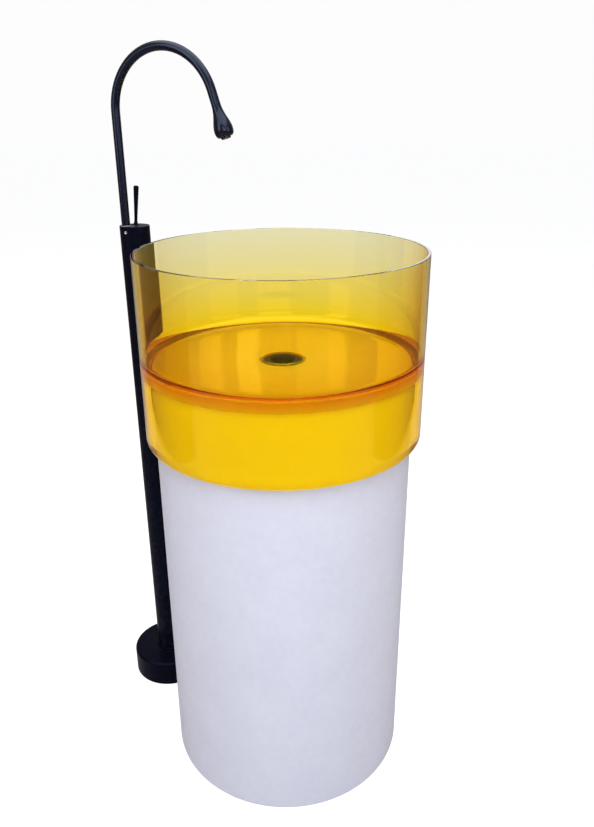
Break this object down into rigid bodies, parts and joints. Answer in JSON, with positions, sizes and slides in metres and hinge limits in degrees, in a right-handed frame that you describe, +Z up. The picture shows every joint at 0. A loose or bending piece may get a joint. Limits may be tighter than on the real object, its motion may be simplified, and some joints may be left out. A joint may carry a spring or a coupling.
{
  "type": "freestanding washbasin with floor-standing tap",
  "caption": "Round clear amber resin washbasin on a white cylindrical pedestal, with a black floor-standing gooseneck joystick mixer tap beside it.",
  "frame": {"origin": "centre of the pedestal's foot, on the floor, which is also the middle of the floor-bolt circle", "axes": "+Z up, +X to the right as the user faces the basin, +Y away from the user; the tap stands at the back left"},
  "size_m": [0.539, 0.46, 1.1886],
  "materials": {
    "amber_resin": "clear amber cast resin, polished",
    "white_solid_surface": "white mineral-filled cast resin, satin",
    "white_silicone": "matt silicone",
    "galvanised_steel": "zinc plated, satin",
    "black_metal": "satin black coating",
    "black_rubber": "matt",
    "brass": "machined",
    "white_plastic": "moulded",
    "grey_plastic": "moulded",
    "ceramic_disc": "lapped",
    "steel_braid": "rubber hose under a woven steel braid",
    "crimped_steel": "pressed"
  },
  "bodies": {
    "stand": {"basin_wall": "amber_resin", "basin_base": "amber_resin", "pedestal_shell": "white_solid_surface", "pedestal_top_plate": "white_solid_surface", "bedding_pad": "white_silicone", "floor_cleats": "galvanised_steel", "cleat_screws": "galvanised_steel", "base_plate": "galvanised_steel", "foot_socket": "galvanised_steel", "foot_screws": "galvanised_steel", "plate_screw": "galvanised_steel", "stop_screw": "galvanised_steel", "waste_body": "black_metal", "tap_column": "black_metal", "head_plate": "black_metal", "waste_upper_seal": "black_rubber", "waste_lower_seal": "black_rubber", "inlet_washer": "black_rubber", "tube_washer": "black_rubber", "cup_seal": "black_rubber", "outlet_washer": "black_rubber", "base_gasket": "black_rubber", "cartridge_seal": "black_rubber", "hose_washers": "black_rubber", "waste_backnut": "brass", "valve_body": "brass", "hose_unions": "brass", "hose_nuts": "brass", "trap_inlet_tube": "white_plastic", "inlet_nut": "white_plastic", "trap_head": "white_plastic", "tube_nut": "white_plastic", "trap_cup": "white_plastic", "outlet_nut": "white_plastic", "outlet_pipe": "white_plastic", "cartridge_base": "grey_plastic", "cartridge_housing": "grey_plastic", "glide_ring": "grey_plastic", "fixed_disc": "ceramic_disc", "hot_hose": "steel_braid", "cold_hose": "steel_braid", "hose_ferrules": "crimped_steel"},
    "spout": {"spout_tube": "black_metal", "spout_o_rings": "black_rubber", "drop_nozzle": "black_metal", "aerator_washer": "black_rubber", "aerator_housing": "black_metal", "aerator_insert": "grey_plastic"},
    "turret": {"lever_turret": "grey_plastic", "lever_axle": "galvanised_steel"},
    "lever": {"lever_spindle": "black_metal", "lever_handle": "black_metal"},
    "mixing_disc": {"moving_disc": "ceramic_disc", "disc_carrier": "grey_plastic"},
    "cover": {"flange_cover": "black_metal", "cover_collar": "black_metal", "cover_o_ring": "black_rubber"}
  },
  "joints": [
    {"name": "spout_swivel", "type": "hinge", "parent": "stand", "child": "spout", "pos_m": [-0.25891, 0.1607, 0.9], "axis": [0, 0, 1], "range_deg": [-100, 100]},
    {"name": "lever_turn", "type": "hinge", "parent": "stand", "child": "turret", "pos_m": [-0.24601, 0.1765, 0.9], "axis": [0, 0, 1], "range_deg": [-45, 45]},
    {"name": "lever_tilt", "type": "hinge", "parent": "turret", "child": "lever", "pos_m": [-0.24601, 0.1765, 0.909], "axis": [0, 1, 0], "range_deg": [-5.4, 16.6]},
    {"name": "disc_slide", "type": "slide", "parent": "turret", "child": "mixing_disc", "axis": [1, 0, 0], "range_m": [-0.0041, 0.0015]},
    {"name": "cover_slide", "type": "slide", "parent": "stand", "child": "cover", "axis": [0, 0, 1], "range_m": [0, 0.15]}
  ],
  "couplings": [
    {"joint": "disc_slide", "follows": "lever_tilt", "m_per_rad": -0.013436}
  ]
}
